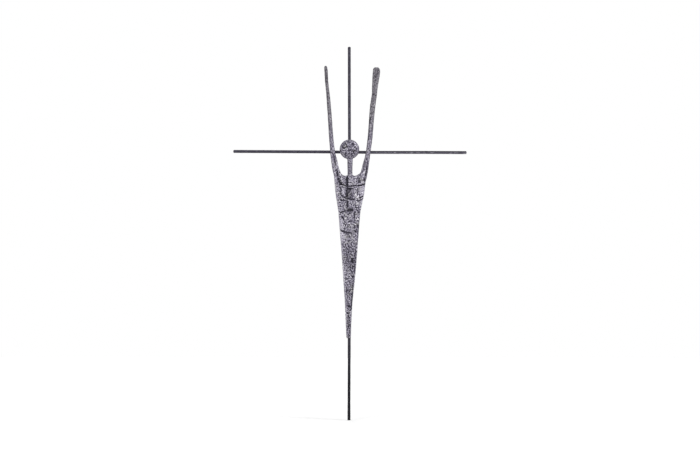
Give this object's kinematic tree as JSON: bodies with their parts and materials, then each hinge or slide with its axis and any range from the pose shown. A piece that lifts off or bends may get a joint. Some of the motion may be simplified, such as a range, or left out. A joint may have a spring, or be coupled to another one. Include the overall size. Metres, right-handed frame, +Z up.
{
  "type": "thin metal grave cross with a slender cast figure",
  "caption": "Thin free-standing cross of round bar, set in the ground, with a slender cast figure with raised arms fixed to its front.",
  "frame": {"origin": "middle of the upright's foot, where it meets the ground", "axes": "+Z up along the upright, +X to the right along the crossbar seen from the front, -Y towards the front, where the figure is"},
  "size_m": [0.5, 0.0193, 0.8],
  "materials": {
    "forged_bar": "blackened wrought iron, dull, with a light forge scale",
    "brushed_casting": "grey iron casting, dark in the hollows and brushed bright on the high places"
  },
  "bodies": {
    "root": {"upright_bar": "forged_bar", "cross_bar": "forged_bar", "figure": "brushed_casting"}
  },
  "joints": []
}
